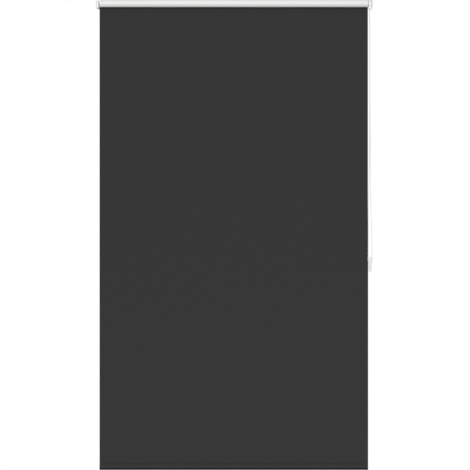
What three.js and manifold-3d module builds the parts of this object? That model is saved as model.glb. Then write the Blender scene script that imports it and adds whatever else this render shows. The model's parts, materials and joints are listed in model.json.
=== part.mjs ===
// Chain-operated roller blind for one window, in millimetres, +Z up.
// Origin: on the wall plane, midway along the fabric, level with the roller's axis.
// +X runs to the chain side, -Y points into the room, so everything lies at Y <= 0.
import * as THREE from "three";
import { mergeVertices } from "three/addons/utils/BufferGeometryUtils.js";
import Module from "manifold-3d";

const wasm = await Module();
wasm.setup();

// ---- Driving dimensions ----
const GAP = 0.3; // between pieces that touch
const AXIS_Y = -34; // roller axis in front of the wall
const FABRIC_HALF = 653.5; // half the fabric's width
const FABRIC_THICKNESS = 0.5;
const DROP = 2274; // roller axis to the bottom bar's lower edge

const TUBE_RADIUS = 19;
const TUBE_WALL = 1.3;
const TUBE_HALF = 651; // half the tube's length
const ROLL_RADIUS = 20.3; // two turns of fabric stay on the lowered blind

const BAR_HEIGHT = 28.8;
const BAR_DEPTH = 11; // over its lower lip
const BAR_LIP = 8; // height of the lip below the fabric pocket
const BAR_HALF = 652.9;

const CHAIN_RADIUS = 2.25; // of the beads
const SPROCKET_X = 661.5; // chain plane at the drive end
const SPROCKET_PITCH_RADIUS = 15.38; // 16 beads of 6 mm pitch
const GUARD_RADIUS = 20.4;
const COVER_BOTTOM = -29.7;

const PULLEY = new THREE.Vector3(664.2, -25.4, -1263); // chain tensioner's wheel
const PULLEY_PITCH_RADIUS = 9.2;

const ROUND = 40; // facets round a large cylinder
const SMALL_ROUND = 24; // facets round a small one

// ---- Finishes ----
const finish = (color, roughness, metalness = 0) =>
  new THREE.MeshStandardMaterial({ color, roughness, metalness });
const whitePlastic = finish(0xf0f0ee, 0.4);
const greyPlastic = finish(0xd9dadb, 0.45);
const darkPlastic = finish(0x3a3a3b, 0.5);
const whiteSteel = finish(0xf2f2f0, 0.35, 0.2);
const brightSteel = finish(0xb9bcc0, 0.3, 1);
const springSteel = finish(0x8d9094, 0.35, 1);
const aluminium = finish(0xc6c8ca, 0.4, 1);
const anthracite = finish(0x202122, 0.45, 0.6);
const fabricFront = finish(0x373737, 0.9);
const fabricBack = finish(0xe4e4e3, 0.6);
const chainPlastic = finish(0xf1f1ef, 0.35);

const blind = new THREE.Group();

// ---- Solids ----
// A closed geometry as a solid, with its faces turned outwards.
function solid(geometry) {
  const bare = geometry.clone();
  bare.deleteAttribute("normal");
  bare.deleteAttribute("uv");
  const merged = mergeVertices(bare, 1e-4);
  const triVerts = new Uint32Array(merged.index.array);
  if (signedVolume(merged) < 0) {
    for (let i = 0; i < triVerts.length; i += 3) {
      [triVerts[i + 1], triVerts[i + 2]] = [triVerts[i + 2], triVerts[i + 1]];
    }
  }
  const vertProperties = merged.attributes.position.array;
  return new wasm.Manifold(new wasm.Mesh({ numProp: 3, vertProperties, triVerts }));
}

function signedVolume(geometry) {
  const corners = [new THREE.Vector3(), new THREE.Vector3(), new THREE.Vector3()];
  const { position } = geometry.attributes;
  const { array } = geometry.index;
  let volume = 0;
  for (let i = 0; i < array.length; i += 3) {
    corners.forEach((corner, k) => corner.fromBufferAttribute(position, array[i + k]));
    volume += corners[0].dot(corners[1].clone().cross(corners[2])) / 6;
  }
  return volume;
}

// Adds a finished solid to the blind as a named piece.
function piece(name, body, material) {
  const { vertProperties, triVerts } = body.getMesh();
  const geometry = new THREE.BufferGeometry();
  geometry.setAttribute("position", new THREE.BufferAttribute(vertProperties, 3));
  geometry.setIndex(new THREE.BufferAttribute(triVerts, 1));
  geometry.computeVertexNormals();
  const mesh = new THREE.Mesh(geometry, material);
  mesh.name = name;
  blind.add(mesh);
}

// A box between two corners.
function box(low, high) {
  const size = high.map((value, i) => value - low[i]);
  const geometry = new THREE.BoxGeometry(...size);
  geometry.translate(...low.map((value, i) => value + size[i] / 2));
  return solid(geometry);
}

// Turned about the roller's axis from [x, radius] points: an outline that starts and ends
// on the axis, or one that closes on itself.
function turned(points, facets = ROUND) {
  const onAxis = points[0][1] === 0;
  const outline = onAxis ? points : [...points, points[0]];
  const geometry = new THREE.LatheGeometry(
    outline.map(([x, radius]) => new THREE.Vector2(radius, x)),
    facets,
  );
  geometry.rotateZ(-Math.PI / 2);
  geometry.translate(0, AXIS_Y, 0);
  return solid(geometry);
}

const disc = (x0, x1, radius, facets) =>
  turned([[x0, 0], [x0, radius], [x1, radius], [x1, 0]], facets);

const ring = (x0, x1, inner, outer, facets) =>
  turned([[x0, inner], [x0, outer], [x1, outer], [x1, inner]], facets);

// A cylinder along Y at a place on the wall, between two depths.
function pinAlongY(x, z, y0, y1, radius, facets = SMALL_ROUND) {
  const geometry = new THREE.CylinderGeometry(radius, radius, y1 - y0, facets);
  geometry.translate(x, (y0 + y1) / 2, z);
  return solid(geometry);
}

// A section drawn in (Y, Z), drawn out along X from x0 to x1.
function drawnAlongX(shape, x0, x1, curveSegments = 8) {
  const geometry = new THREE.ExtrudeGeometry(shape, {
    depth: x1 - x0,
    bevelEnabled: false,
    curveSegments,
  });
  const turn = new THREE.Matrix4().makeBasis(
    new THREE.Vector3(0, 1, 0),
    new THREE.Vector3(0, 0, 1),
    new THREE.Vector3(1, 0, 0),
  );
  geometry.applyMatrix4(turn).translate(x0, 0, 0);
  return solid(geometry);
}

// An outline drawn in (X, Z), drawn out towards the room from y1 (wall side) to y0.
function drawnAlongY(shape, y0, y1, curveSegments = 8) {
  const geometry = new THREE.ExtrudeGeometry(shape, {
    depth: y1 - y0,
    bevelEnabled: false,
    curveSegments,
  });
  const turn = new THREE.Matrix4().makeBasis(
    new THREE.Vector3(1, 0, 0),
    new THREE.Vector3(0, 0, 1),
    new THREE.Vector3(0, -1, 0),
  );
  geometry.applyMatrix4(turn).translate(0, y1, 0);
  return solid(geometry);
}

// An outline drawn in (X, Y), drawn up from z0 to z1.
function drawnAlongZ(shape, z0, z1, curveSegments = 8) {
  const geometry = new THREE.ExtrudeGeometry(shape, {
    depth: z1 - z0,
    bevelEnabled: false,
    curveSegments,
  });
  return solid(geometry.translate(0, 0, z0));
}

// A rectangle with its own radius at each corner, anticlockwise from the low corner.
function roundedRectangle(u0, v0, u1, v1, radii) {
  const [a, b, c, d] = Array.isArray(radii) ? radii : [radii, radii, radii, radii];
  const shape = new THREE.Shape();
  shape.moveTo(u0 + a, v0);
  shape.lineTo(u1 - b, v0);
  if (b) shape.absarc(u1 - b, v0 + b, b, -Math.PI / 2, 0, false);
  shape.lineTo(u1, v1 - c);
  if (c) shape.absarc(u1 - c, v1 - c, c, 0, Math.PI / 2, false);
  shape.lineTo(u0 + d, v1);
  if (d) shape.absarc(u0 + d, v1 - d, d, Math.PI / 2, Math.PI, false);
  shape.lineTo(u0, v0 + a);
  if (a) shape.absarc(u0 + a, v0 + a, a, Math.PI, 1.5 * Math.PI, false);
  return shape;
}

// A round rod or wire along a curve.
function rod(curve, radius, steps, sides = 8) {
  const section = new THREE.Shape();
  for (let i = 0; i < sides; i += 1) {
    const angle = (2 * Math.PI * i) / sides;
    const [u, v] = [radius * Math.cos(angle), radius * Math.sin(angle)];
    if (i) section.lineTo(u, v);
    else section.moveTo(u, v);
  }
  section.closePath();
  return solid(new THREE.ExtrudeGeometry(section, { steps, extrudePath: curve }));
}

// Points of a coil about the roller's axis, from x0 to x1, starting at an angle.
function coil(x0, x1, radius, turns, perTurn, start = 0) {
  const points = [];
  const count = Math.round(turns * perTurn);
  for (let i = 0; i <= count; i += 1) {
    const angle = start + (2 * Math.PI * turns * i) / count;
    const x = x0 + ((x1 - x0) * i) / count;
    points.push(
      new THREE.Vector3(x, AXIS_Y + radius * Math.cos(angle), radius * Math.sin(angle)),
    );
  }
  return points;
}

// A bar that lies along X at a radius and an angle about the roller's axis.
function keyBar(x0, x1, inner, outer, width, angle) {
  const bar = new THREE.BoxGeometry(x1 - x0, outer - inner, width);
  bar.translate((x0 + x1) / 2, (inner + outer) / 2, 0);
  bar.rotateX(angle);
  bar.translate(0, AXIS_Y, 0);
  return solid(bar);
}

// ---- Roller tube, its ribs, and the fabric wound on it ----
const RIB_ANGLES = [Math.PI / 6, (5 * Math.PI) / 6, 1.5 * Math.PI];
const RIB_WIDTH = 2;
const RIB_HEIGHT = 2;
const GROOVE_ANGLE = Math.PI / 2; // groove for the fabric's upper spline
const GROOVE_DEPTH = 2.9;
const GROOVE_WIDTH = 3.2;
const CHANNEL_WALL = 1; // round the groove
const CHANNEL_WIDTH = GROOVE_WIDTH + 2 * CHANNEL_WALL;
const CHANNEL_FLOOR = TUBE_RADIUS - GROOVE_DEPTH - CHANNEL_WALL;
const tubeBore = TUBE_RADIUS - TUBE_WALL;

// Room for the tube's ribs and channel, as the end fittings must clear them.
function keyways(x0, x1) {
  const bars = RIB_ANGLES.map((angle) =>
    keyBar(x0, x1, tubeBore - RIB_HEIGHT - GAP, TUBE_RADIUS, RIB_WIDTH + 2 * GAP, angle),
  );
  bars.push(
    keyBar(x0, x1, CHANNEL_FLOOR - GAP, TUBE_RADIUS, CHANNEL_WIDTH + 2 * GAP, GROOVE_ANGLE),
  );
  return bars.reduce((joined, bar) => joined.add(bar));
}

function addRoller() {
  let tube = ring(-TUBE_HALF, TUBE_HALF, tubeBore, TUBE_RADIUS);
  for (const angle of RIB_ANGLES) {
    const rib = keyBar(-TUBE_HALF, TUBE_HALF, tubeBore - RIB_HEIGHT, tubeBore + 0.6, RIB_WIDTH, angle);
    tube = tube.add(rib);
  }
  const channel = keyBar(
    -TUBE_HALF, TUBE_HALF, CHANNEL_FLOOR, TUBE_RADIUS - 0.6, CHANNEL_WIDTH, GROOVE_ANGLE,
  );
  const slot = keyBar(
    -TUBE_HALF - 1, TUBE_HALF + 1, TUBE_RADIUS - GROOVE_DEPTH, TUBE_RADIUS + 1, GROOVE_WIDTH, GROOVE_ANGLE,
  );
  tube = tube.add(channel).subtract(slot);
  piece("roller_tube", tube, aluminium);

  const splineLength = 2 * TUBE_HALF - 4;
  const splineRadius = GROOVE_WIDTH / 2 - GAP;
  const spline = new THREE.CylinderGeometry(splineRadius, splineRadius, splineLength, 12);
  spline.rotateZ(Math.PI / 2);
  spline.translate(0, AXIS_Y, TUBE_RADIUS - GROOVE_DEPTH + GAP + splineRadius);
  piece("roller_spline", solid(spline), greyPlastic);

  const wound = ring(-FABRIC_HALF, FABRIC_HALF, TUBE_RADIUS + GAP, ROLL_RADIUS, 48);
  piece("fabric_roll", wound, fabricBack);
}

// ---- Hanging fabric and bottom bar ----
const PANEL_Y = AXIS_Y + ROLL_RADIUS + GAP + FABRIC_THICKNESS / 2;
const BAR_LOW = -DROP;
const BAR_HIGH = BAR_LOW + BAR_HEIGHT;
const LIP_HIGH = BAR_LOW + BAR_LIP;
const POCKET_HIGH = BAR_HIGH + GAP + FABRIC_THICKNESS;
const CORE_HALF = BAR_DEPTH / 2 - GAP - FABRIC_THICKNESS; // half the bar's depth inside the pocket

function addPanel() {
  const half = FABRIC_THICKNESS / 2;
  const low = [-FABRIC_HALF, PANEL_Y - half, POCKET_HIGH + GAP];
  const high = [FABRIC_HALF, PANEL_Y + half, 0];
  piece("fabric_panel", box(low, high), fabricFront);
}

function addBottomBar() {
  const core = roundedRectangle(
    PANEL_Y - CORE_HALF, LIP_HIGH - 1, PANEL_Y + CORE_HALF, BAR_HIGH, [0, 0, 3, 3],
  );
  const lip = roundedRectangle(
    PANEL_Y - BAR_DEPTH / 2, BAR_LOW, PANEL_Y + BAR_DEPTH / 2, LIP_HIGH, [4, 4, 0, 0],
  );
  const hollow = roundedRectangle(PANEL_Y - 3.2, LIP_HIGH + 2, PANEL_Y + 3.2, BAR_HIGH - 2, 1);
  const groove = roundedRectangle(PANEL_Y - 2, BAR_LOW - 1, PANEL_Y + 2, BAR_LOW + 5, 0);
  const bar = drawnAlongX(core, -BAR_HALF, BAR_HALF)
    .add(drawnAlongX(lip, -BAR_HALF, BAR_HALF))
    .subtract(drawnAlongX(hollow, -BAR_HALF - 1, BAR_HALF + 1))
    .subtract(drawnAlongX(groove, -BAR_HALF - 1, BAR_HALF + 1));
  piece("bottom_bar", bar, anthracite);

  const outer = roundedRectangle(
    PANEL_Y - BAR_DEPTH / 2, LIP_HIGH + GAP, PANEL_Y + BAR_DEPTH / 2, POCKET_HIGH, [0, 0, 3.8, 3.8],
  );
  const inside = roundedRectangle(
    PANEL_Y - CORE_HALF - GAP, LIP_HIGH - 1, PANEL_Y + CORE_HALF + GAP, BAR_HIGH + GAP, [0, 0, 3.3, 3.3],
  );
  const pocket = drawnAlongX(outer, -BAR_HALF, BAR_HALF).subtract(
    drawnAlongX(inside, -BAR_HALF - 1, BAR_HALF + 1),
  );
  piece("hem_pocket", pocket, fabricFront);

  const strip = roundedRectangle(PANEL_Y - 1.7, BAR_LOW + 0.6, PANEL_Y + 1.7, BAR_LOW + 4.7, 0.8);
  piece("bottom_bar_spline", drawnAlongX(strip, 4 - BAR_HALF, BAR_HALF - 4, 3), darkPlastic);

  for (const [side, sign] of [["left", -1], ["right", 1]]) {
    const plate = roundedRectangle(
      PANEL_Y - BAR_DEPTH / 2 - GAP, BAR_LOW - GAP, PANEL_Y + BAR_DEPTH / 2 + GAP, POCKET_HIGH + GAP,
      [4, 4, 3.8, 3.8],
    );
    const tongue = roundedRectangle(PANEL_Y - 2.9, LIP_HIGH + 2.3, PANEL_Y + 2.9, BAR_HIGH - 2.3, 0.8);
    const plateSpan = [BAR_HALF + GAP, BAR_HALF + 1.7];
    const tongueSpan = [BAR_HALF - 22, BAR_HALF + GAP + 0.2];
    const cap = drawnAlongX(plate, ...spanOn(sign, plateSpan), 6).add(
      drawnAlongX(tongue, ...spanOn(sign, tongueSpan), 3),
    );
    piece(`bottom_cap_${side}`, cap, darkPlastic);
  }
}

// A span given for the chain side, mirrored for the other side when sign is -1.
const spanOn = (sign, [x0, x1]) => (sign > 0 ? [x0, x1] : [-x1, -x0]);

// ---- Brackets and their covers ----
const PLATE = 2; // bracket sheet thickness
const COVER_WALL = 1.4;
const COVER_EDGE = 6; // radius of a cover's outer front edge
const FLANGE_LENGTH = 35;
const SCREW_SLOT_WIDTH = 6;
const SCREW_SLOT_HEIGHT = 14;
const COVER_BACK = -PLATE - 0.4;

// End plate and wall flange of a bracket. inner is the X of the plate's face towards the roller,
// corner the radius of its front corners, and sign is +1 on the chain side.
function bracketSheet(sign, inner, front, low, high, corner) {
  const outline = roundedRectangle(front, low, 0, high, [corner, 0, 0, corner]);
  const plate = drawnAlongX(outline, ...spanOn(sign, [inner, inner + PLATE]));
  const [x0, x1] = spanOn(sign, [inner + PLATE - FLANGE_LENGTH, inner + PLATE]);
  const radii = sign > 0 ? [5, 0, 0, 5] : [0, 5, 5, 0];
  const flange = drawnAlongY(roundedRectangle(x0, low, x1, high, radii), -PLATE, 0);
  const slotX = sign * (inner + PLATE - FLANGE_LENGTH + 13);
  const slotZ = (low + high) / 2;
  const slot = roundedRectangle(
    slotX - SCREW_SLOT_WIDTH / 2,
    slotZ - SCREW_SLOT_HEIGHT / 2,
    slotX + SCREW_SLOT_WIDTH / 2,
    slotZ + SCREW_SLOT_HEIGHT / 2,
    SCREW_SLOT_WIDTH / 2 - 0.01,
  );
  return plate.add(flange).subtract(drawnAlongY(slot, -PLATE - 1, 1, 5));
}

// What an outline from the side, one from the front and one from above share.
function sharedShape(side, front, above, back) {
  const reach = 700;
  return drawnAlongX(side, -reach, reach)
    .intersect(drawnAlongY(front, -reach / 10, back))
    .intersect(drawnAlongZ(above, -reach / 10, reach / 10));
}

// A cover's body, hollowed from the roller's side and from behind.
const coverShell = (outlines, hollowOutlines) =>
  sharedShape(...outlines, COVER_BACK).subtract(sharedShape(...hollowOutlines, 5));

const IDLE_PLATE_X = 657.8; // left bracket's inner face, from the centre
const IDLE_TOP = 11.2;
const IDLE_OUTER = 670.9;
const IDLE_FRONT = -51.5;
const DRIVE_PLATE_X = 670.8; // right bracket's inner face
const DRIVE_TOP = 28;
const DRIVE_OUTER = 676.8;
const DRIVE_PLATE_RISE = 10; // the plate stops short of the cover's narrow lower end
const DRIVE_FRONT = -57;
const PIN_RADIUS = 4;
const BOSS_HALF = 6;
const BOSS_LENGTH = 5.3; // from the base disc through the bracket plate

function addLeftBracket() {
  const margin = COVER_WALL + GAP;
  const low = COVER_BOTTOM + margin;
  const high = IDLE_TOP - margin;
  const notchHalf = PIN_RADIUS + 0.4;
  const notch = roundedRectangle(
    AXIS_Y - notchHalf, -notchHalf, AXIS_Y + notchHalf, high + 5, [notchHalf, notchHalf, 0, 0],
  );
  const sheet = bracketSheet(-1, IDLE_PLATE_X, IDLE_FRONT + margin, low, high, 10).subtract(
    drawnAlongX(notch, -IDLE_PLATE_X - PLATE - 1, -IDLE_PLATE_X + 1),
  );
  piece("bracket_left", sheet, whiteSteel);

  // The cover's three outlines, pulled in by a wall's thickness for its hollow.
  const outlines = (inset, open, back) => [
    roundedRectangle(
      IDLE_FRONT + inset, COVER_BOTTOM + inset, back, IDLE_TOP - inset, [11 - inset, 0, 0, 8 - inset],
    ),
    roundedRectangle(
      -IDLE_OUTER + inset, COVER_BOTTOM + inset, open, IDLE_TOP - inset, [12 - inset, 0, 0, 2.5 - inset],
    ),
    roundedRectangle(-IDLE_OUTER + inset, IDLE_FRONT + inset, open, back, [COVER_EDGE - inset, 0, 0, 0]),
  ];
  const shell = coverShell(
    outlines(0, -IDLE_PLATE_X, 5), outlines(COVER_WALL, -IDLE_PLATE_X + 1, 6),
  );
  piece("cover_left", shell, whitePlastic);
}

// The drive cover's outline from the front: its outer side leans in towards the bottom.
function driveCoverFront(inset, open) {
  const low = COVER_BOTTOM + inset;
  const high = DRIVE_TOP - inset;
  const outer = DRIVE_OUTER - inset;
  const shape = new THREE.Shape();
  shape.moveTo(open, low);
  shape.lineTo(outer - 5, low);
  shape.quadraticCurveTo(outer - 3, low + 3, outer - 0.4, low + 20);
  shape.lineTo(outer, high - 10);
  shape.quadraticCurveTo(outer, high, outer - 3, high);
  shape.lineTo(open, high);
  shape.closePath();
  return shape;
}

function addRightBracket() {
  const margin = COVER_WALL + GAP;
  const low = COVER_BOTTOM + margin + DRIVE_PLATE_RISE;
  const high = DRIVE_TOP - margin;
  const front = DRIVE_FRONT + margin + 1; // behind the cover's rounded edge
  const hole = roundedRectangle(
    AXIS_Y - BOSS_HALF - GAP, -BOSS_HALF - GAP, AXIS_Y + BOSS_HALF + GAP, BOSS_HALF + GAP, 0,
  );
  const sheet = bracketSheet(1, DRIVE_PLATE_X, front, low, high, 12).subtract(
    drawnAlongX(hole, DRIVE_PLATE_X - 1, DRIVE_PLATE_X + PLATE + 1),
  );
  piece("bracket_right", sheet, whiteSteel);

  const outlines = (inset, open, back) => [
    roundedRectangle(
      DRIVE_FRONT + inset, COVER_BOTTOM + inset, back, DRIVE_TOP - inset, [13 - inset, 0, 0, 13 - inset],
    ),
    driveCoverFront(inset, open),
    roundedRectangle(open, DRIVE_FRONT + inset, DRIVE_OUTER - inset, back, [0, COVER_EDGE - inset, 0, 0]),
  ];
  const shell = coverShell(outlines(0, DRIVE_PLATE_X, 5), outlines(COVER_WALL, DRIVE_PLATE_X - 1, 6));
  piece("cover_right", shell, whitePlastic);
}

// ---- Idle end: plug, sprung pin and spring ----
const PLUG_INNER_X = -600; // plug's end inside the tube
const CHAMBER = 8; // radius of the spring's chamber
const FITTING_RADIUS = tubeBore - GAP;
const FLANGE_RADIUS = TUBE_RADIUS - 0.1;
const COLLAR_X = -647.6; // outer face of the pin's collar

function addIdleEnd() {
  const plug = turned([
    [-FABRIC_HALF + 0.1, PIN_RADIUS + 0.4],
    [-FABRIC_HALF + 0.1, FLANGE_RADIUS],
    [-TUBE_HALF - GAP, FLANGE_RADIUS],
    [-TUBE_HALF - GAP, FITTING_RADIUS],
    [PLUG_INNER_X, FITTING_RADIUS],
    [PLUG_INNER_X, CHAMBER],
    [-648, CHAMBER],
    [-648, PIN_RADIUS + 0.4],
  ]).subtract(keyways(-TUBE_HALF - GAP, PLUG_INNER_X + 1));
  piece("idle_plug", plug, whitePlastic);

  const cap = turned([
    [-604, 0],
    [-604, CHAMBER - 0.4],
    [PLUG_INNER_X + GAP, CHAMBER - 0.4],
    [PLUG_INNER_X + GAP, 12],
    [PLUG_INNER_X + 2.3, 12],
    [PLUG_INNER_X + 2.3, 0],
  ], SMALL_ROUND);
  piece("idle_plug_cap", cap, whitePlastic);

  const pin = turned([
    [-664.5, 0],
    [-664.5, PIN_RADIUS - 1],
    [-663.5, PIN_RADIUS],
    [COLLAR_X, PIN_RADIUS],
    [COLLAR_X, 6.6],
    [COLLAR_X + 2, 6.6],
    [COLLAR_X + 2, 3.6],
    [-630, 3.6],
    [-629, 2.6],
    [-629, 0],
  ], SMALL_ROUND);
  piece("idle_pin", pin, brightSteel);

  const wire = 0.6;
  const turns = 8;
  const points = coil(COLLAR_X + 2 + GAP + wire, -604 - GAP - wire, 5.6, turns, 12);
  const spring = rod(new THREE.CatmullRomCurve3(points), wire, turns * 12, 6);
  piece("idle_spring", spring, springSteel);
}

// ---- Drive end: brake core, springs, sprocket, adapter, guard ----
const CORE_RADIUS = 9.6;
const CORE_INNER_X = 608;
const BASE_X = 669; // inner face of the core's base disc
const HUB_BORE = 12;
const HUB_RADIUS = 13.6;
const HUB_INNER_X = 610;
const ADAPTER_BORE = 14;

function addDriveEnd() {
  const boss = box(
    [BASE_X + 1, AXIS_Y - BOSS_HALF, -BOSS_HALF],
    [BASE_X + BOSS_LENGTH, AXIS_Y + BOSS_HALF, BOSS_HALF],
  );
  const core = disc(CORE_INNER_X, BASE_X + 0.5, CORE_RADIUS, SMALL_ROUND)
    .add(disc(BASE_X, BASE_X + 1.5, GUARD_RADIUS))
    .add(boss)
    .subtract(disc(CORE_INNER_X - 1, CORE_INNER_X + 16, 2.1, 16));
  piece("clutch_core", core, greyPlastic);

  const washer = ring(CORE_INNER_X - 2.1, CORE_INNER_X - GAP, 2.2, 13.2, SMALL_ROUND);
  piece("retaining_washer", washer, brightSteel);
  const screw = disc(CORE_INNER_X - 4.6, CORE_INNER_X - 2.4, 4, 16)
    .add(disc(CORE_INNER_X - 2.5, CORE_INNER_X + 14, 1.7, 16))
    .subtract(box([CORE_INNER_X - 5, AXIS_Y - 3, -0.5], [CORE_INNER_X - 3.6, AXIS_Y + 3, 0.5]));
  piece("retaining_screw", screw, brightSteel);

  const grooveHalf = CHAIN_RADIUS + 0.3;
  const wheelHalf = grooveHalf + 0.95;
  const wheelLow = SPROCKET_X - wheelHalf;
  const wheelHigh = SPROCKET_X + wheelHalf;
  const wheel = turned([
    [HUB_INNER_X, HUB_BORE],
    [HUB_INNER_X, HUB_RADIUS],
    [wheelLow, HUB_RADIUS],
    [wheelLow, 17.6],
    [SPROCKET_X - grooveHalf - 0.2, 17.6],
    [SPROCKET_X - grooveHalf, 14.6],
    [SPROCKET_X - grooveHalf + 0.8, 12.7],
    [SPROCKET_X + grooveHalf - 0.8, 12.7],
    [SPROCKET_X + grooveHalf, 14.6],
    [SPROCKET_X + grooveHalf + 0.2, 17.6],
    [wheelHigh, 17.6],
    [wheelHigh, 12.7],
    [BASE_X - GAP, 12.7],
    [BASE_X - GAP, CORE_RADIUS + 0.4],
    [wheelLow + 0.8, CORE_RADIUS + 0.4],
    [wheelLow + 0.8, HUB_BORE],
  ]).subtract(keyBar(HUB_INNER_X - 1, 650, HUB_BORE - 1, HUB_RADIUS + 1, 10, 0));
  piece("drive_sprocket", wheel, greyPlastic);

  const adapter = turned([
    [PLUG_INNER_X * -1, ADAPTER_BORE],
    [PLUG_INNER_X * -1, FITTING_RADIUS],
    [TUBE_HALF + GAP, FITTING_RADIUS],
    [TUBE_HALF + GAP, FLANGE_RADIUS],
    [FABRIC_HALF - 0.1, FLANGE_RADIUS],
    [FABRIC_HALF - 0.1, ADAPTER_BORE],
  ])
    .subtract(keyways(-PLUG_INNER_X - 1, TUBE_HALF + GAP))
    .add(keyBar(HUB_INNER_X + 2, 640, HUB_BORE + 0.6, ADAPTER_BORE + 0.6, 2.6, 0));
  piece("tube_adapter", adapter, whitePlastic);

  const wire = 0.55;
  const springLength = 9;
  const tangAngle = Math.PI / 15; // the two tangs stand either side of the adapter's rib
  const turns = 4 - tangAngle / Math.PI;
  for (let i = 0; i < 3; i += 1) {
    const x0 = HUB_INNER_X + 3 + wire + i * 12;
    const points = coil(x0, x0 + springLength, CORE_RADIUS + 0.4 + wire, turns, 14, tangAngle);
    flareEnds(points);
    const spring = rod(new THREE.CatmullRomCurve3(points), wire, 4 * 14, 4);
    piece(`wrap_spring_${i + 1}`, spring, springSteel);
  }

  addChainGuard();
}

// Bends a coil's two ends outwards, as tangs that reach into the sprocket hub's slot.
function flareEnds(points) {
  const tang = 1.9;
  for (const [end, next] of [[0, 1], [points.length - 1, points.length - 2]]) {
    for (const [index, share] of [[end, 1], [next, 0.1]]) {
      const offset = new THREE.Vector3(0, points[index].y - AXIS_Y, points[index].z);
      points[index].add(offset.setLength(tang * share));
    }
  }
}

function addChainGuard() {
  const low = SPROCKET_X - 4.6;
  const high = BASE_X - GAP;
  const inner = 18.6;
  const shell = ring(low, high, inner, GUARD_RADIUS);
  const wall = ring(low, low + 0.8, HUB_RADIUS + 1, GUARD_RADIUS - 0.2);
  const skirtFront = AXIS_Y - GUARD_RADIUS;
  const skirtBack = AXIS_Y + GUARD_RADIUS;
  const skirtOuter = box([low, skirtFront, COVER_BOTTOM + 0.2], [high, skirtBack, 0]);
  const skirtInner = box([low + 0.8, skirtFront + 1.8, COVER_BOTTOM - 1], [high + 1, skirtBack - 1.8, 1]);
  const clear = disc(low - 1, low + 0.8, HUB_RADIUS + 1);
  const skirt = skirtOuter.subtract(skirtInner).subtract(clear);
  const upper = shell.add(wall);
  const opening = box([low + 0.8, AXIS_Y - inner, -40], [high + 1, AXIS_Y + inner, 0]);
  piece("chain_guard", upper.add(skirt).subtract(opening), whitePlastic);
}

// ---- Bead chain: an endless loop over the sprocket and round the tensioner's wheel ----
const CHAIN_TURN_Z = -6; // where the strands leave the sprocket's arc
const point = (x, y, z) => new THREE.Vector3(x, y, z);
const FRONT_Y = AXIS_Y - SPROCKET_PITCH_RADIUS;
const REAR_Y = AXIS_Y + SPROCKET_PITCH_RADIUS;

const FRONT_STRAND = [
  point(SPROCKET_X, FRONT_Y, CHAIN_TURN_Z - GAP),
  point(SPROCKET_X, FRONT_Y, -20),
  point(661.6, -49.3, -36),
  point(661.8, -49.1, -58),
  point(662.0, -48.7, -95),
  point(662.2, -47.8, -160),
  point(662.3, -45.7, -300),
  point(662.1, -42.2, -500),
  point(660.9, -38.4, -700),
  point(657.8, -34.3, -900),
  point(655.7, -30.2, -1080),
  point(655.1, -27.2, -1190),
  point(655.0, -25.7, -1235),
  point(655.0, -25.4, PULLEY.z + GAP),
];

const REAR_STRAND = [
  point(673.4, -25.4, PULLEY.z + GAP),
  point(673.4, -25.5, -1235),
  point(673.1, -25.6, -1195),
  point(671.8, -25.6, -1145),
  point(670.0, -25.5, -1070),
  point(667.9, -25.2, -980),
  point(666.2, -24.8, -890),
  point(664.9, -24.0, -740),
  point(663.9, -22.8, -520),
  point(663.0, -21.4, -300),
  point(662.4, -19.8, -150),
  point(662.0, -19.1, -80),
  point(661.7, -18.8, -45),
  point(SPROCKET_X, REAR_Y, -26),
  point(SPROCKET_X, REAR_Y, CHAIN_TURN_Z - GAP),
];

// Half turn of chain in a plane, from one side of a wheel to the other.
function halfTurn(centre, radius, sideways, upwards, count) {
  const points = [];
  for (let i = 0; i <= count; i += 1) {
    const angle = (Math.PI * i) / count;
    const place = centre.clone();
    place.addScaledVector(sideways, radius * Math.cos(angle));
    place.addScaledVector(upwards, radius * Math.sin(angle));
    points.push(place);
  }
  return points;
}

function addChain() {
  const strand = (points) => rod(new THREE.CatmullRomCurve3(points), CHAIN_RADIUS, 30);
  piece("chain_front_strand", strand(FRONT_STRAND), chainPlastic);
  piece("chain_rear_strand", strand(REAR_STRAND), chainPlastic);

  const loop = halfTurn(PULLEY, PULLEY_PITCH_RADIUS, point(-1, 0, 0), point(0, 0, -1), 12);
  piece("chain_bottom_loop", rod(new THREE.CatmullRomCurve3(loop), CHAIN_RADIUS, 12), chainPlastic);

  const centre = point(SPROCKET_X, AXIS_Y, 0);
  const over = halfTurn(centre, SPROCKET_PITCH_RADIUS, point(0, -1, 0), point(0, 0, 1), 16);
  over.unshift(point(SPROCKET_X, FRONT_Y, CHAIN_TURN_Z));
  over.push(point(SPROCKET_X, REAR_Y, CHAIN_TURN_Z));
  piece("chain_over_sprocket", rod(new THREE.CatmullRomCurve3(over), CHAIN_RADIUS, 18), chainPlastic);
}

// ---- Chain tensioner on the wall ----
const HEAD_HIGH = -1237;
const HEAD_LOW = -1252;
const STEM_LOW = -1310;
const HEAD_HALF = 12;
const STEM_HALF = 8;
const STEM_BLOCK_HIGH = -1279; // below this the two shells close on each other
const SHELL_INSIDE = 3.5; // half the room for the wheel between the shells
const SCREW_Z = -1286;

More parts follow.
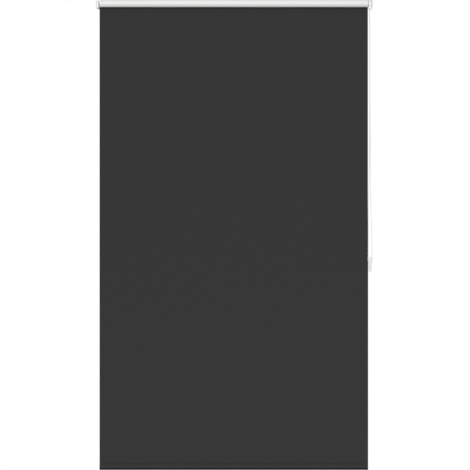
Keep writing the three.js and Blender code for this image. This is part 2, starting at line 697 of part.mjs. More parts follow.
// Front view of the tensioner: a wide head over a narrower stem.
function tensionerOutline() {
  const { x } = PULLEY;
  const headX = x + 0.6;
  const shape = new THREE.Shape();
  shape.moveTo(x - STEM_HALF + 3, STEM_LOW);
  shape.lineTo(x + STEM_HALF - 3, STEM_LOW);
  shape.absarc(x + STEM_HALF - 3, STEM_LOW + 3, 3, -Math.PI / 2, 0, false);
  shape.lineTo(x + STEM_HALF, HEAD_LOW - 5);
  shape.quadraticCurveTo(x + STEM_HALF + 1, HEAD_LOW, headX + HEAD_HALF, HEAD_LOW + 4);
  shape.lineTo(headX + HEAD_HALF, HEAD_HIGH - 2);
  shape.absarc(headX + HEAD_HALF - 2, HEAD_HIGH - 2, 2, 0, Math.PI / 2, false);
  shape.lineTo(headX - HEAD_HALF + 2, HEAD_HIGH);
  shape.absarc(headX - HEAD_HALF + 2, HEAD_HIGH - 2, 2, Math.PI / 2, Math.PI, false);
  shape.lineTo(headX - HEAD_HALF, HEAD_LOW + 4);
  shape.quadraticCurveTo(x - STEM_HALF - 1, HEAD_LOW, x - STEM_HALF, HEAD_LOW - 5);
  shape.lineTo(x - STEM_HALF, STEM_LOW + 3);
  shape.absarc(x - STEM_HALF + 3, STEM_LOW + 3, 3, Math.PI, 1.5 * Math.PI, false);
  return shape;
}

function addTensioner() {
  const { x, y, z } = PULLEY;
  const frontWall = y - SHELL_INSIDE;
  const backWall = y + SHELL_INSIDE;
  const frontFace = frontWall - 1.8;
  const backFace = backWall + 1.6;
  const axleRadius = 2;
  const axleHole = pinAlongY(x, z, frontFace - 1, backFace + 1, axleRadius + GAP, 24);
  const screwHole = pinAlongY(x, SCREW_Z, frontFace - 1, -6, 1.9 + GAP, 24);

  const bridge = box([x - 5, frontWall - 0.5, HEAD_LOW + 2], [x + 5, backWall - GAP, HEAD_HIGH - 2]);
  const block = box(
    [x - STEM_HALF + 0.5, frontWall - 0.5, STEM_LOW + 1],
    [x + STEM_HALF - 0.5, backWall - GAP, STEM_BLOCK_HIGH],
  );
  const recess = roundedRectangle(x - 4.4, SCREW_Z - 7.5, x + 4.4, SCREW_Z + 6.5, 4.3);
  const front = drawnAlongY(tensionerOutline(), frontFace, frontWall, 6)
    .add(bridge)
    .add(block)
    .subtract(drawnAlongY(recess, frontFace - 1, frontFace + 3, 6))
    .subtract(axleHole)
    .subtract(screwHole);
  piece("tensioner_front", front, greyPlastic);

  const back = drawnAlongY(tensionerOutline(), backWall, backFace, 6)
    .subtract(axleHole)
    .subtract(screwHole);
  piece("tensioner_back", back, greyPlastic);

  const base = drawnAlongY(
    roundedRectangle(x - 7, STEM_LOW + 1, x + 7, STEM_BLOCK_HIGH - 1, 2.5), backFace + GAP, 0, 4,
  ).subtract(screwHole);
  piece("tensioner_base", base, greyPlastic);

  const wheel = new THREE.LatheGeometry(
    [
      [axleRadius + GAP, -3.2],
      [8.6, -3.2],
      [8.6, -2.6],
      [6.6, -1.7],
      [6.6, 1.7],
      [8.6, 2.6],
      [8.6, 3.2],
      [axleRadius + GAP, 3.2],
      [axleRadius + GAP, -3.2],
    ].map(([radius, along]) => new THREE.Vector2(radius, along)),
    SMALL_ROUND,
  );
  piece("tensioner_wheel", solid(wheel.translate(x, y, z)), whitePlastic);
  piece("wheel_axle", pinAlongY(x, z, frontFace + 0.4, backFace - 0.2, axleRadius, 24), brightSteel);

  const head = pinAlongY(x, SCREW_Z, frontFace + 0.6, frontFace + 2.7, 3.6, 24);
  const shank = pinAlongY(x, SCREW_Z, frontFace + 2.6, -8, 1.9, 16);
  const cross = box([x - 2.4, frontFace, SCREW_Z - 0.45], [x + 2.4, frontFace + 1.5, SCREW_Z + 0.45]).add(
    box([x - 0.45, frontFace, SCREW_Z - 2.4], [x + 0.45, frontFace + 1.5, SCREW_Z + 2.4]),
  );
  piece("tensioner_screw", head.add(shank).subtract(cross), brightSteel);
}

addRoller();
addPanel();
addBottomBar();
addLeftBracket();
addRightBracket();
addIdleEnd();
addDriveEnd();
addChain();
addTensioner();

export default blind;
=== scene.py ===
import json
import math

import bmesh
import bpy
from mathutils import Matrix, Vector


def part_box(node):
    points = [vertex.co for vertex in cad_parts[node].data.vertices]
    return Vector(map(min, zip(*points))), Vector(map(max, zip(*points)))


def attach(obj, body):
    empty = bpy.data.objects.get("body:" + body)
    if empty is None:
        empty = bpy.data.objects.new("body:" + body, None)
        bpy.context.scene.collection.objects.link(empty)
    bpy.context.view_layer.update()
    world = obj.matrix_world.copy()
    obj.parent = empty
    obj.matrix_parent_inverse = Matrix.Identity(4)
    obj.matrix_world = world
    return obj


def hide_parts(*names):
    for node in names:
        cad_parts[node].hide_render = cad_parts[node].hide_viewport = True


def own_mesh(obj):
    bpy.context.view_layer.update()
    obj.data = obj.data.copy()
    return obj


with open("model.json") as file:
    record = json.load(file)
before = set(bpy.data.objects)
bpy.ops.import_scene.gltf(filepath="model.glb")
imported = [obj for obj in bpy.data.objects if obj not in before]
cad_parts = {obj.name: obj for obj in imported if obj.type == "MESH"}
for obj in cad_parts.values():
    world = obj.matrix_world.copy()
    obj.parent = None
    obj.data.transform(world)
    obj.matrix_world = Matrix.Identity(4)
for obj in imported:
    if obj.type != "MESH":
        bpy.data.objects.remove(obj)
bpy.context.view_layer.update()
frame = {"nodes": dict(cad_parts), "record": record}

# A chain-operated roller blind, in metres: the wall is the plane Y = 0, -Y is the room and +X the
# chain side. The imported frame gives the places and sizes, and this script gives the looks.

MM = 0.001
TURN = 2 * math.pi

roll_low, roll_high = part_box("fabric_roll")
panel_low, panel_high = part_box("fabric_panel")
bar_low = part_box("bottom_bar")[0]
pocket_low, pocket_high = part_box("hem_pocket")

AXIS = (roll_low + roll_high) / 2  # middle of the roller's axis
ROLL_RADIUS = (roll_high.z - roll_low.z) / 2
PANEL_Y = (panel_low.y + panel_high.y) / 2


# ---- Camera ----
LENS = 300
SENSOR = 36
VIEW_SIDE = 2.291  # side of the square that the camera sees at the fabric
VIEW_RIGHT = 5.9 * MM  # the view's middle stands this far towards the chain
VIEW_MARGIN = 0.5 * MM  # below the bottom bar


def add_camera():
    data = bpy.data.cameras.new("camera")
    data.lens = LENS
    data.sensor_width = SENSOR
    data.clip_end = 100
    camera = bpy.data.objects.new("camera", data)
    distance = VIEW_SIDE * LENS / SENSOR
    camera.location = (VIEW_RIGHT, PANEL_Y - distance, bar_low.z - VIEW_MARGIN + VIEW_SIDE / 2)
    camera.rotation_euler = (math.pi / 2, 0, 0)
    bpy.context.scene.collection.objects.link(camera)
    bpy.context.scene.camera = camera


# ---- Materials ----
NOISE_LOW, NOISE_HIGH = 0.3, 0.7  # a noise's value mostly lies between these


class Recipe:
    """A material whose pattern is worked out by nodes from the place in the row frame."""

    def __init__(self, name, roughness, metallic=0.0, **sockets):
        self.material = bpy.data.materials.new(name)
        self.material.use_nodes = True
        self.nodes = self.material.node_tree.nodes
        self.surface = self.nodes["Principled BSDF"]
        self.surface.inputs["Roughness"].default_value = roughness
        self.surface.inputs["Metallic"].default_value = metallic
        for socket, value in sockets.items():
            self.surface.inputs[socket.replace("_", " ")].default_value = value
        self.place = self.node("ShaderNodeTexCoord").outputs["Object"]
        split = self.node("ShaderNodeSeparateXYZ")
        self.join(self.place, split.inputs[0])
        self.x, self.y, self.z = split.outputs

    def node(self, kind):
        return self.nodes.new(kind)

    def join(self, source, target):
        self.material.node_tree.links.new(source, target)

    def math(self, operation, *operands):
        node = self.node("ShaderNodeMath")
        node.operation = operation
        for operand, socket in zip(operands, node.inputs):
            if isinstance(operand, (int, float)):
                socket.default_value = operand
            else:
                self.join(operand, socket)
        return node.outputs[0]

    def vector(self, *parts):
        node = self.node("ShaderNodeCombineXYZ")
        for part, socket in zip(parts, node.inputs):
            self.join(part, socket)
        return node.outputs[0]

    def stretched(self, x, y, z):
        """The place, scaled by its own amount along each axis."""
        parts = zip((self.x, self.y, self.z), (x, y, z))
        return self.vector(*(self.math("MULTIPLY", part, by) for part, by in parts))

    def noise(self, scale, detail=2.0, place=None):
        node = self.node("ShaderNodeTexNoise")
        node.inputs["Scale"].default_value = scale
        node.inputs["Detail"].default_value = detail
        self.join(place or self.place, node.inputs["Vector"])
        return node.outputs["Fac"]

    def between(self, factor, low, high):
        """A number that goes from low to high as a noise goes from its low to its high."""
        node = self.node("ShaderNodeMapRange")
        node.inputs["From Min"].default_value = NOISE_LOW
        node.inputs["From Max"].default_value = NOISE_HIGH
        node.inputs["To Min"].default_value = low
        node.inputs["To Max"].default_value = high
        self.join(factor, node.inputs["Value"])
        return node.outputs["Result"]

    def colour(self, factor, low, high, start=NOISE_LOW, end=NOISE_HIGH):
        node = self.node("ShaderNodeValToRGB")
        for element, position, value in zip(node.color_ramp.elements, (start, end), (low, high)):
            element.position = position
            element.color = (*value, 1)
        self.join(factor, node.inputs["Fac"])
        self.join(node.outputs["Color"], self.surface.inputs["Base Color"])

    def roughness(self, factor, low, high):
        self.join(self.between(factor, low, high), self.surface.inputs["Roughness"])

    def bump(self, height, depth, strength=1.0):
        node = self.node("ShaderNodeBump")
        node.inputs["Strength"].default_value = strength
        node.inputs["Distance"].default_value = depth
        self.join(height, node.inputs["Height"])
        self.join(node.outputs["Normal"], self.surface.inputs["Normal"])


def shade(colour, by):
    return tuple(channel * by for channel in colour)


YARN = 0.55 * MM  # spacing of the yarns, both ways
YARN_FLATNESS = 0.6  # a yarn's cross-section: 1 is a sine wave, less is flatter on top
YARN_CHANGES = 40.0  # how often a yarn's tone changes along it, per metre
ALONG = "along_fabric"  # attribute: distance along the fabric from its piece's first edge


def woven(recipe):
    """Sockets of a plain weave: its height, whether the upright yarn is on top, and yarn unevenness."""
    along = recipe.node("ShaderNodeAttribute")
    along.attribute_name = ALONG
    down = along.outputs["Fac"]
    across_wave = recipe.math("SINE", recipe.math("MULTIPLY", recipe.x, math.pi / YARN))
    down_wave = recipe.math("SINE", recipe.math("MULTIPLY", down, math.pi / YARN))
    cross = recipe.math("MULTIPLY", across_wave, down_wave)
    height = recipe.math("POWER", recipe.math("ABSOLUTE", cross), YARN_FLATNESS)
    upright = recipe.math("GREATER_THAN", cross, 0.0)

    def yarns(per_metre_across, per_metre_down):
        """A noise with this many changes per metre across the fabric and down it."""
        across_place = recipe.math("MULTIPLY", recipe.x, per_metre_across)
        down_place = recipe.math("MULTIPLY", down, per_metre_down)
        return recipe.noise(1.0, 1.0, recipe.vector(across_place, down_place, recipe.y))

    warp = yarns(1 / YARN, YARN_CHANGES)
    weft = yarns(YARN_CHANGES, 1 / YARN)
    lower = recipe.math("MULTIPLY", weft, recipe.math("SUBTRACT", 1.0, upright))
    uneven = recipe.math("ADD", recipe.math("MULTIPLY", warp, upright), lower)
    return height, upright, uneven


def fabric_front():
    """Dark grey polyester: a plain weave of slightly uneven yarns, with painted shade in the hollows
    between the yarns and a painted highlight on their crowns.
    """
    base = (0.0292, 0.0292, 0.0297)
    recipe = Recipe("fabric_front", 0.88, Specular_IOR_Level=0.2, Sheen_Weight=0.02, Sheen_Roughness=0.5)
    height, upright, uneven = woven(recipe)
    tone = recipe.math("ADD", recipe.math("MULTIPLY", uneven, 0.7), recipe.math("MULTIPLY", upright, 0.12))
    # Painted shade and highlight: the colour is lighter on the yarns' crowns and darker in the hollows
    # between them, following the weave's height.
    tone = recipe.math("ADD", tone, recipe.math("MULTIPLY", height, 0.18))
    recipe.colour(tone, shade(base, 0.84), shade(base, 1.16), 0.25, 0.75)
    recipe.bump(height, 0.07 * MM)
    return recipe.material


def fabric_back():
    """The smooth off-white light-blocking coating, through which the weave shows faintly."""
    base = (0.752, 0.752, 0.747)
    recipe = Recipe("fabric_back", 0.42, Specular_IOR_Level=0.5)
    height, _, uneven = woven(recipe)
    recipe.colour(uneven, shade(base, 0.985), shade(base, 1.015))
    recipe.roughness(recipe.noise(60), 0.37, 0.47)
    grain = recipe.math("ADD", recipe.math("MULTIPLY", height, 0.35), recipe.noise(2200, 1.0))
    recipe.bump(grain, 0.012 * MM)
    return recipe.material


def plastic(name, base, roughness, grain=0.012, **sockets):
    """Moulded plastic with a fine spark-eroded grain and slightly uneven gloss."""
    recipe = Recipe(name, roughness, **sockets)
    recipe.colour(recipe.noise(35, 3.0), shade(base, 0.985), shade(base, 1.01))
    recipe.roughness(recipe.noise(140, 3.0), roughness - 0.05, roughness + 0.05)
    recipe.bump(recipe.noise(2600, 2.0), grain * MM)
    return recipe.material


def coated_steel(name, base):
    """Powder coat over steel sheet, with its faint orange peel."""
    recipe = Recipe(name, 0.35, Coat_Weight=0.25, Coat_Roughness=0.25)
    recipe.colour(recipe.noise(45, 3.0), shade(base, 0.985), shade(base, 1.01))
    recipe.roughness(recipe.noise(160, 3.0), 0.31, 0.41)
    recipe.bump(recipe.noise(750, 2.0), 0.02 * MM)
    return recipe.material


def drawn_metal(name, base, roughness, stretch, depth=0.006, metallic=1.0, **sockets):
    """Metal with the fine lines of drawing, extruding or turning, much longer one way than the others."""
    recipe = Recipe(name, roughness, metallic, **sockets)
    lines = recipe.noise(1.0, 3.0, recipe.stretched(*stretch))
    recipe.colour(lines, shade(base, 0.93), shade(base, 1.05))
    recipe.roughness(lines, roughness - 0.06, roughness + 0.08)
    recipe.bump(lines, depth * MM)
    return recipe.material


def all_materials():
    return {
        "fabric_front": fabric_front(),
        "fabric_back": fabric_back(),
        "white_plastic": plastic("white_plastic", (0.765, 0.765, 0.76), 0.42),
        "grey_plastic": plastic("grey_plastic", (0.685, 0.69, 0.69), 0.45),
        "dark_plastic": plastic("dark_plastic", (0.036, 0.036, 0.037), 0.5),
        "chain_plastic": plastic(
            "chain_plastic", (0.775, 0.775, 0.761), 0.26, grain=0.004,
            Coat_Weight=0.2, Coat_Roughness=0.15),
        "white_steel": coated_steel("white_steel", (0.8, 0.8, 0.795)),
        "bright_steel": drawn_metal("bright_steel", (0.45, 0.46, 0.47), 0.34, (60, 1800, 1800)),
        "spring_steel": drawn_metal("spring_steel", (0.34, 0.35, 0.36), 0.32, (400, 400, 400)),
        "aluminium": drawn_metal("aluminium", (0.6, 0.61, 0.62), 0.36, (6, 1400, 1400)),
        # Painted shade: the bottom bar's lower lip is near black, darker than an anthracite coat would be,
        # so that it reads as the shade under the bar. The lip itself is a real dark part.
        "anthracite_aluminium": drawn_metal(
            "anthracite_aluminium", (0.005, 0.005, 0.0053), 0.55, (5, 900, 900), metallic=0.0,
            Specular_IOR_Level=0.04),
    }


# ---- Pieces ----
material_of = all_materials()
slot_of = {part["node"]: part["material_slot"] for part in frame["record"]["subparts"]}
body_of = {
    node: body
    for body, nodes in frame["record"]["behaviour"]["bodies"].items()
    for node in nodes
}
made = set()  # CAD nodes that a piece stands for


def add_piece(name, mesh, nodes, materials=None):
    """Puts a mesh in the scene as a piece that stands for CAD nodes and moves with their body."""
    slot = slot_of[nodes[0]]
    for each in materials or [slot]:
        mesh.materials.append(material_of[each])
    piece = bpy.data.objects.new(name, mesh)
    bpy.context.scene.collection.objects.link(piece)
    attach(piece, body_of[nodes[0]])
    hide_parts(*nodes)
    made.update(nodes)
    return piece


def smooth(mesh, angle=32):
    """Shades a mesh smoothly, except across edges sharper than this many degrees."""
    mesh.shade_smooth()
    mesh.set_sharp_from_angle(angle=math.radians(angle))


# ---- Swept forms: chain and springs ----
def evenly(points, count):
    """count + 1 points at equal distances along a line of points."""
    reached = [0.0]
    for a, b in zip(points, points[1:]):
        reached.append(reached[-1] + (b - a).length)
    spots, k = [], 0
    for i in range(count + 1):
        goal = reached[-1] * i / count
        while k < len(points) - 2 and reached[k + 1] < goal:
            k += 1
        share = (goal - reached[k]) / (reached[k + 1] - reached[k])
        spots.append(points[k].lerp(points[k + 1], share))
    return spots


def length_of(points):
    return sum((b - a).length for a, b in zip(points, points[1:]))


def curve_through(points, step):
    """A centripetal Catmull-Rom curve through points, as points about a step apart."""
    ends = [2 * points[0] - points[1], *points, 2 * points[-1] - points[-2]]
    path = [points[0]]
    for a, b, c, d in zip(ends, ends[1:], ends[2:], ends[3:]):
        ta, tb, tc = (math.sqrt((q - p).length) for p, q in ((a, b), (b, c), (c, d)))
        leave = ((b - a) / ta - (c - a) / (ta + tb) + (c - b) / tb) * tb
        arrive = ((c - b) / tb - (d - b) / (tb + tc) + (d - c) / tc) * tb
        count = max(1, round((c - b).length / step))
        for i in range(1, count + 1):
            t = i / count
            path.append(
                b * (2 * t**3 - 3 * t**2 + 1)
                + leave * (t**3 - 2 * t**2 + t)
                + c * (3 * t**2 - 2 * t**3)
                + arrive * (t**3 - t**2)
            )
    return path


def swept(name, centres, radii, sides):
    """A closed tube of rings round a line of centres, each ring with its own radius."""
    verts = []
    last = len(centres) - 1
    across = None
    for i, (centre, radius) in enumerate(zip(centres, radii)):
        ahead = (centres[min(i + 1, last)] - centres[max(i - 1, 0)]).normalized()
        across = ahead.orthogonal() if across is None else across - ahead * across.dot(ahead)
        across.normalize()
        beside = ahead.cross(across)
        for k in range(sides):
            angle = TURN * k / sides
            verts.append(centre + (across * math.cos(angle) + beside * math.sin(angle)) * radius)
    faces = [
        (i * sides + k, i * sides + (k + 1) % sides, (i + 1) * sides + (k + 1) % sides, (i + 1) * sides + k)
        for i in range(last)
        for k in range(sides)
    ]
    faces.append(tuple(reversed(range(sides))))
    faces.append(tuple(last * sides + k for k in range(sides)))
    mesh = bpy.data.meshes.new(name)
    mesh.from_pydata(verts, [], faces)
    smooth(mesh, 60)
    return mesh


# ---- Bead chain ----
BEAD_RADIUS = 2.25 * MM
BEAD_PITCH = 6 * MM
LINK_RADIUS = 0.62 * MM
BEAD_SIDES = 14
SPOTS_PER_BEAD = 24
ROUTE_STEP = 4 * MM
BEAD_ANGLES = (15, 33, 52, 71, 90, 109, 128, 147, 165)  # rings of a bead, from end to end
PULLEY = Vector((664.2, -25.4, -1263)) * MM
PULLEY_PITCH_RADIUS = 9.2 * MM
SPROCKET = Vector((661.5, -34, 0)) * MM
SPROCKET_PITCH_RADIUS = 15.38 * MM
SPROCKET_TURN_Z = -6 * MM  # where the strands leave the sprocket's arc

FRONT_STRAND = [
    (661.5, -49.38, -6.3),
    (661.5, -49.38, -20),
    (661.6, -49.3, -36),
    (661.8, -49.1, -58),
    (662.0, -48.7, -95),
    (662.2, -47.8, -160),
    (662.3, -45.7, -300),
    (662.1, -42.2, -500),
    (660.9, -38.4, -700),
    (657.8, -34.3, -900),
    (655.7, -30.2, -1080),
    (655.1, -27.2, -1190),
    (655.0, -25.7, -1235),
    (655.0, -25.4, -1262.7),
]
REAR_STRAND = [
    (673.4, -25.4, -1262.7),
    (673.4, -25.5, -1235),
    (673.1, -25.6, -1195),
    (671.8, -25.6, -1145),
    (670.0, -25.5, -1070),
    (667.9, -25.2, -980),
    (666.2, -24.8, -890),
    (664.9, -24.0, -740),
    (663.9, -22.8, -520),
    (663.0, -21.4, -300),
    (662.4, -19.8, -150),
    (662.0, -19.1, -80),
    (661.7, -18.8, -45),
    (661.5, -18.62, -26),
    (661.5, -18.62, -6.3),
]


def half_turn(centre, radius, sideways, upwards, count):
    """Points on a half circle from one side of a wheel, over its top, to the other side."""
    return [
        centre + (sideways * math.cos(angle) + upwards * math.sin(angle)) * radius
        for angle in (math.pi * i / count for i in range(count + 1))
    ]


def beads_along(name, line):
    """Beads moulded on a thin link cord, a whole number of them along a line."""
    count = round(length_of(line) / BEAD_PITCH)
    spots = evenly(line, count * SPOTS_PER_BEAD)
    centres, radii = [spots[0]], [LINK_RADIUS]
    pitch = length_of(line) / count
    for bead in range(count):
        for degrees in BEAD_ANGLES:
            angle = math.radians(degrees)
            place = (bead + 0.5 - BEAD_RADIUS * math.cos(angle) / pitch) * SPOTS_PER_BEAD
            k = int(place)
            centres.append(spots[k].lerp(spots[k + 1], place - k))
            radii.append(max(LINK_RADIUS, BEAD_RADIUS * math.sin(angle)))
        centres.append(spots[(bead + 1) * SPOTS_PER_BEAD])
        radii.append(LINK_RADIUS)
    return swept(name, centres, radii, BEAD_SIDES), centres


def add_chain():
    front = curve_through([Vector(p) * MM for p in FRONT_STRAND], ROUTE_STEP)
    bottom = half_turn(PULLEY, PULLEY_PITCH_RADIUS, Vector((-1, 0, 0)), Vector((0, 0, -1)), 24)
    rear = curve_through([Vector(p) * MM for p in REAR_STRAND], ROUTE_STEP)
    mesh, path = beads_along("bead_chain", front + bottom + rear)
    nodes = ["chain_front_strand", "chain_rear_strand", "chain_bottom_loop"]
    chain = add_piece("bead_chain", mesh, nodes)

    over = half_turn(SPROCKET, SPROCKET_PITCH_RADIUS, Vector((0, -1, 0)), Vector((0, 0, 1)), 32)
    for end, spot in ((0, over[0]), (len(over) + 1, over[-1])):
        over.insert(end, Vector((spot.x, spot.y, SPROCKET_TURN_Z)))
    mesh, _ = beads_along("bead_chain_over_sprocket", over)
    add_piece("bead_chain_over_sprocket", mesh, ["chain_over_sprocket"])


# ---- Springs ----
def coil(x0, x1, radius, turns, closed=0.0, start=0.0, per_turn=28):
    """Points of a coil about the roller's axis. closed is the share of a pitch that its end turns have."""
    count = round(turns * per_turn)
    pitch = [1.0 if 1 <= turns * i / count <= turns - 1 else 1 - closed for i in range(count)]
    travelled, points = 0.0, []
    for i in range(count + 1):
        angle = start + TURN * turns * i / count
        x = x0 + (x1 - x0) * travelled / sum(pitch)
        points.append(Vector((x, AXIS.y + radius * math.cos(angle), AXIS.z + radius * math.sin(angle))))
        travelled += pitch[i] if i < count else 0.0
    return points


IDLE_WIRE = 0.6 * MM
IDLE_TURNS = 8


def add_idle_spring():
    low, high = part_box("idle_spring")
    radius = (high.z - low.z) / 2 - IDLE_WIRE
    points = coil(low.x + IDLE_WIRE, high.x - IDLE_WIRE, radius, IDLE_TURNS, closed=0.55)
    mesh = swept("idle_spring_coil", points, [IDLE_WIRE] * len(points), 12)
    spring = add_piece("idle_spring_coil", mesh, ["idle_spring"])
    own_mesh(spring)


WRAP_RADIUS = 10.55 * MM
WRAP_WIRE = 0.55 * MM
WRAP_TURNS = 4
TANG_ANGLE = math.pi / 15  # the two tangs stand either side of the adapter's rib
TANG_LENGTH = 1.9 * MM


def add_wrap_springs():
    for node in ("wrap_spring_1", "wrap_spring_2", "wrap_spring_3"):
        low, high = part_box(node)
        turns = WRAP_TURNS - TANG_ANGLE / math.pi
        points = coil(low.x + WRAP_WIRE, high.x - WRAP_WIRE, WRAP_RADIUS, turns, start=TANG_ANGLE)
        for end in (0, -1):
            outwards = Vector((0, points[end].y - AXIS.y, points[end].z - AXIS.z)).normalized()
            tang = [points[end] + outwards * TANG_LENGTH * share for share in (0.35, 0.7, 1.0)]
            points = tang[::-1] + points if end == 0 else points + tang
        add_piece(f"{node}_coil", swept(node, points, [WRAP_WIRE] * len(points), 10), [node])


# ---- Fabric ----
CLOTH = 0.5 * MM


def cloth(name, line, thickness, ends, columns, ripple=None):
    """A closed strip of fabric: a line of (y, z) centres drawn out along X between two ends.

    Its first material is on the side that lies to the right of the line, seen along +X, and its
    second on the other. ripple(across, along) moves it towards the first side, where across goes
    from -1 to 1 and along from 0 to 1. ends(k) gives the strip's two X at the line's k-th point.
    """
    rows = len(line)
    reached = [0.0]
    for a, b in zip(line, line[1:]):
        reached.append(reached[-1] + math.dist(a, b))
    verts, along = [], []
    for k, (y, z) in enumerate(line):
        before, after = line[max(k - 1, 0)], line[min(k + 1, rows - 1)]
        step = Vector((after[0] - before[0], after[1] - before[1])).normalized()
        facing = Vector((0, step.y, -step.x))
        left, right = ends(k)
        for i in range(columns + 1):
            across = 2 * i / columns - 1
            lift = ripple(across, reached[k] / reached[-1]) if ripple else 0.0
            middle = Vector((left + (right - left) * i / columns, y, z)) + facing * lift
            verts += [middle + facing * thickness / 2, middle - facing * thickness / 2]
            along += [reached[k]] * 2

    def corner(k, i, side):
        return (k * (columns + 1) + i) * 2 + side

    faces, sides = [], []
    for k in range(rows - 1):
        for i in range(columns):
            for side in (0, 1):
                quad = [
                    corner(k, i, side),
                    corner(k, i + 1, side),
                    corner(k + 1, i + 1, side),
                    corner(k + 1, i, side),
                ]
                faces.append(quad if side else quad[::-1])
                sides.append(side)
        for i in (0, columns):
            rim = [corner(k, i, 0), corner(k, i, 1), corner(k + 1, i, 1), corner(k + 1, i, 0)]
            faces.append(rim if i == 0 else rim[::-1])
            sides.append(0)
    for k in (0, rows - 1):
        for i in range(columns):
            rim = [corner(k, i, 0), corner(k, i + 1, 0), corner(k, i + 1, 1), corner(k, i, 1)]
            faces.append(rim if k == 0 else rim[::-1])
            sides.append(0)
    mesh = bpy.data.meshes.new(name)
    mesh.from_pydata(verts, [], faces)
    form = bmesh.new()
    form.from_mesh(mesh)
    bmesh.ops.recalc_face_normals(form, faces=form.faces)
    form.to_mesh(mesh)
    form.free()
    for face, side in zip(mesh.polygons, sides):
        face.material_index = side
    mesh.attributes.new(ALONG, "FLOAT", "POINT").data.foreach_set("value", along)
    smooth(mesh, 40)
    return mesh


PANEL_ROWS = 96
PANEL_COLUMNS = 64
LONG_WAVE = 0.7 * MM  # height of the slow waves in the hanging fabric
EDGE_CURL = 0.9 * MM  # how far its side edges curl towards the room
CURL_SHARPNESS = 40  # a higher power keeps the curl closer to the edge
LEFT_PROUD = 0.8 * MM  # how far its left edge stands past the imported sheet
RIGHT_PROUD = 1.2 * MM  # how far its right edge does, over the lower part
PROUD_SPAN = (0.40, 0.54)  # shares of the drop between which the right edge comes out that far


def hang(across, along):
    """How far the hanging fabric stands proud: nothing where the roll and the bar hold it straight."""
    held = math.sin(math.pi * along) ** 0.5
    wave = math.sin(5.1 * across + 1.8 * math.sin(2.6 * along)) * math.sin(2.2 * along + 0.4)
    curl = abs(across) ** CURL_SHARPNESS
    return held * (LONG_WAVE * wave * (1 - curl) + EDGE_CURL * curl)


def panel_edges(k):
    """The hanging fabric's two side edges at its k-th row, from the top."""
    start, end = PROUD_SPAN
    share = min(1.0, max(0.0, (k / PANEL_ROWS - start) / (end - start)))
    return panel_low.x - LEFT_PROUD, panel_high.x + RIGHT_PROUD * share * share * (3 - 2 * share)


def add_panel():
    top, bottom = panel_high.z, panel_low.z
    line = [(PANEL_Y, top + (bottom - top) * k / PANEL_ROWS) for k in range(PANEL_ROWS + 1)]
    mesh = cloth("hanging_fabric", line, CLOTH, panel_edges, PANEL_COLUMNS, hang)
    panel = add_piece("hanging_fabric", mesh, ["fabric_panel"], ["fabric_front", "fabric_back"])
    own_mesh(panel)
    return panel


ROLL_TURNS = 2.25  # from the back of the roll round to the groove on top of the tube
ROLL_CLOTH = 0.39 * MM
ROLL_STEP = 0.41 * MM  # each turn lies this much deeper
STEPS_PER_TURN = 80
ROLL_WANDER = 0.25 * MM  # how far the wound fabric's edges wander sideways
WANDERS_PER_TURN = 0.37


def add_roll():
    """Fabric wound on the tube, its outer end at the back, where the hanging fabric leaves it."""
    outer = ROLL_RADIUS - ROLL_CLOTH / 2
    count = round(ROLL_TURNS * STEPS_PER_TURN)
    line = []
    for k in range(count + 1):
        angle = TURN * k / STEPS_PER_TURN
        radius = outer - ROLL_STEP * k / STEPS_PER_TURN
        line.append((AXIS.y + radius * math.cos(angle), AXIS.z + radius * math.sin(angle)))

    def ends(k):
        shift = ROLL_WANDER * math.sin(TURN * WANDERS_PER_TURN * k / STEPS_PER_TURN)
        return roll_low.x + shift - ROLL_WANDER, roll_high.x + shift + ROLL_WANDER

    mesh = cloth("wound_fabric", line, ROLL_CLOTH, ends, 12)
    add_piece("wound_fabric", mesh, ["fabric_roll"], ["fabric_back", "fabric_front"])


POCKET_CORNER = 3.8 * MM
POCKET_CLOTH = 0.45 * MM
WELD_RIDGE = 0.35 * MM
PUCKER = 0.06 * MM  # height of the small waves that the weld leaves


def add_pocket():
    """The fabric drawn over the bottom bar, with a low ridge where it is welded to the hanging fabric."""
    half = (pocket_high.y - pocket_low.y) / 2 - POCKET_CLOTH / 2
    top = pocket_high.z - POCKET_CLOTH / 2
    middle = (pocket_high.y + pocket_low.y) / 2
    right = [(half, pocket_low.z + (top - POCKET_CORNER - pocket_low.z) * k / 8) for k in range(9)]
    for k in range(1, 9):
        angle = math.pi / 2 * k / 8
        right.append((
            half - POCKET_CORNER * (1 - math.cos(angle)), top - POCKET_CORNER * (1 - math.sin(angle))))
    right += [(1.1 * MM, top), (0.6 * MM, top + 0.3 * WELD_RIDGE), (0.3 * MM, top + WELD_RIDGE)]
    line = [(middle + y, z) for y, z in right] + [(middle - y, z) for y, z in reversed(right)]

    def pucker(across, along):
        return PUCKER * math.sin(61 * across) * math.sin(math.pi * along) ** 2

    mesh = cloth(
        "bar_pocket", line, POCKET_CLOTH, lambda k: (pocket_low.x, pocket_high.x), 120, pucker)
    return add_piece("bar_pocket", mesh, ["hem_pocket"], ["fabric_front", "fabric_back"])


# ---- Hard parts: the CAD's shapes with joined facets and rounded edges ----
EDGE = 0.3 * MM
EDGE_OF = {
    "cover_left": 0.5 * MM,
    "cover_right": 0.5 * MM,
    "tensioner_front": 0.4 * MM,
    "tensioner_back": 0.4 * MM,
    "roller_tube": 0.15 * MM,
    "retaining_screw": 0.12 * MM,
    "tensioner_screw": 0.15 * MM,
    "wheel_axle": 0.2 * MM,
}
SHARP = math.radians(34)  # edges sharper than this are rounded
FLAT = math.radians(0.6)  # facets closer to one plane than this are joined
SAME_SPOT = 0.001 * MM


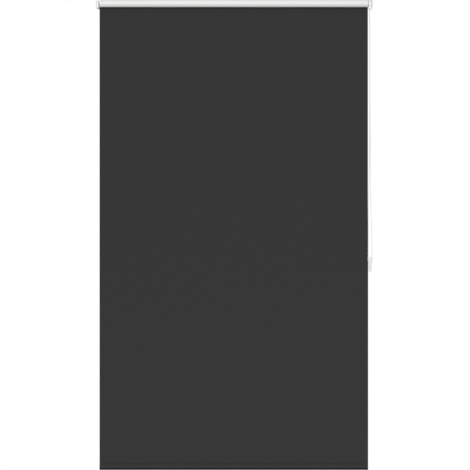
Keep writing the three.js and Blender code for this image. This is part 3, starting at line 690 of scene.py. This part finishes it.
def finished(node):
    """A copy of a CAD node's shape with its flat facets joined and its edges rounded."""
    form = bmesh.new()
    form.from_mesh(frame["nodes"][node].data)
    bmesh.ops.remove_doubles(form, verts=form.verts, dist=SAME_SPOT)
    bmesh.ops.dissolve_limit(
        form, angle_limit=FLAT, verts=form.verts, edges=form.edges, delimit=set())
    corners = [edge for edge in form.edges if len(edge.link_faces) == 2 and edge.calc_face_angle() > SHARP]
    bmesh.ops.bevel(
        form, geom=corners, offset=EDGE_OF.get(node, EDGE), offset_type="OFFSET", segments=2,
        profile=0.5, affect="EDGES", clamp_overlap=True)
    mesh = bpy.data.meshes.new(node)
    form.to_mesh(mesh)
    form.free()
    smooth(mesh)
    return mesh


SOFT_NODES = ("cover_left", "cover_right")
SOFT_VOXEL = 0.45 * MM
SOFT_STEPS = 7


def softened(piece):
    """Turns a moulding's edges into soft ones: an even mesh, then smoothed."""
    even = piece.modifiers.new("even mesh", "REMESH")
    even.mode = "VOXEL"
    even.voxel_size = SOFT_VOXEL
    even.use_smooth_shade = True
    soft = piece.modifiers.new("soft edges", "SMOOTH")
    soft.factor = 0.5
    soft.iterations = SOFT_STEPS


def add_hard_parts():
    """Makes every node that no piece stands for yet."""
    for node in frame["nodes"]:
        if node in made:
            continue
        piece = add_piece(f"{node}_finished", finished(node), [node])
        if node in SOFT_NODES:
            softened(piece)
            continue
        normals = piece.modifiers.new("flat faces stay flat", "WEIGHTED_NORMAL")
        normals.keep_sharp = True


# ---- Light and floor ----
FLOOR_BELOW = 0.5  # under the bottom bar
FLOOR_RADIUS = 3.0
LIGHT_ALL_ROUND = 0.42
BACKDROP = 1.0
SUNS = (  # name, strength, spread in degrees, direction it shines in
    ("key", 2.0, 14, (0.2, 0.96, -0.17)),
    ("back_fill", 1.1, 40, (-0.5, -0.8, -0.5)),
    ("side_fill", 0.6, 30, (-1, 0, 0)),
)


def add_floor():
    form = bmesh.new()
    bmesh.ops.create_circle(form, cap_ends=True, radius=FLOOR_RADIUS, segments=128)
    mesh = bpy.data.meshes.new("floor")
    form.to_mesh(mesh)
    form.free()
    recipe = Recipe("floor", 0.9)
    recipe.colour(recipe.noise(3), (0.84, 0.84, 0.84), (0.86, 0.86, 0.86))
    mesh.materials.append(recipe.material)
    floor = bpy.data.objects.new("floor", mesh)
    floor.location = (0, 0, bar_low.z - FLOOR_BELOW)
    bpy.context.scene.collection.objects.link(floor)


def add_sun(name, strength, spread, towards):
    data = bpy.data.lights.new(name, "SUN")
    data.energy = strength
    data.angle = math.radians(spread)
    sun = bpy.data.objects.new(name, data)
    sun.rotation_euler = Vector(towards).to_track_quat("-Z", "Y").to_euler()
    bpy.context.scene.collection.objects.link(sun)


def add_world():
    """White behind the object, and a weaker even light from all round."""
    world = bpy.data.worlds.new("studio")
    bpy.context.scene.world = world
    world.use_nodes = True
    nodes, links = world.node_tree.nodes, world.node_tree.links
    nodes.clear()
    output = nodes.new("ShaderNodeOutputWorld")
    mix = nodes.new("ShaderNodeMixShader")
    rays = nodes.new("ShaderNodeLightPath")
    links.new(rays.outputs["Is Camera Ray"], mix.inputs["Fac"])
    for socket, strength in ((1, LIGHT_ALL_ROUND), (2, BACKDROP)):
        background = nodes.new("ShaderNodeBackground")
        background.inputs["Color"].default_value = (1, 1, 1, 1)
        background.inputs["Strength"].default_value = strength
        links.new(background.outputs[0], mix.inputs[socket])
    links.new(mix.outputs[0], output.inputs["Surface"])


def add_lights():
    add_world()
    for sun in SUNS:
        add_sun(*sun)
    bpy.context.scene.view_settings.view_transform = "Standard"


add_camera()
add_chain()
panel = add_panel()
add_roll()
pocket = add_pocket()
add_idle_spring()
add_wrap_springs()
add_hard_parts()
add_floor()
add_lights()
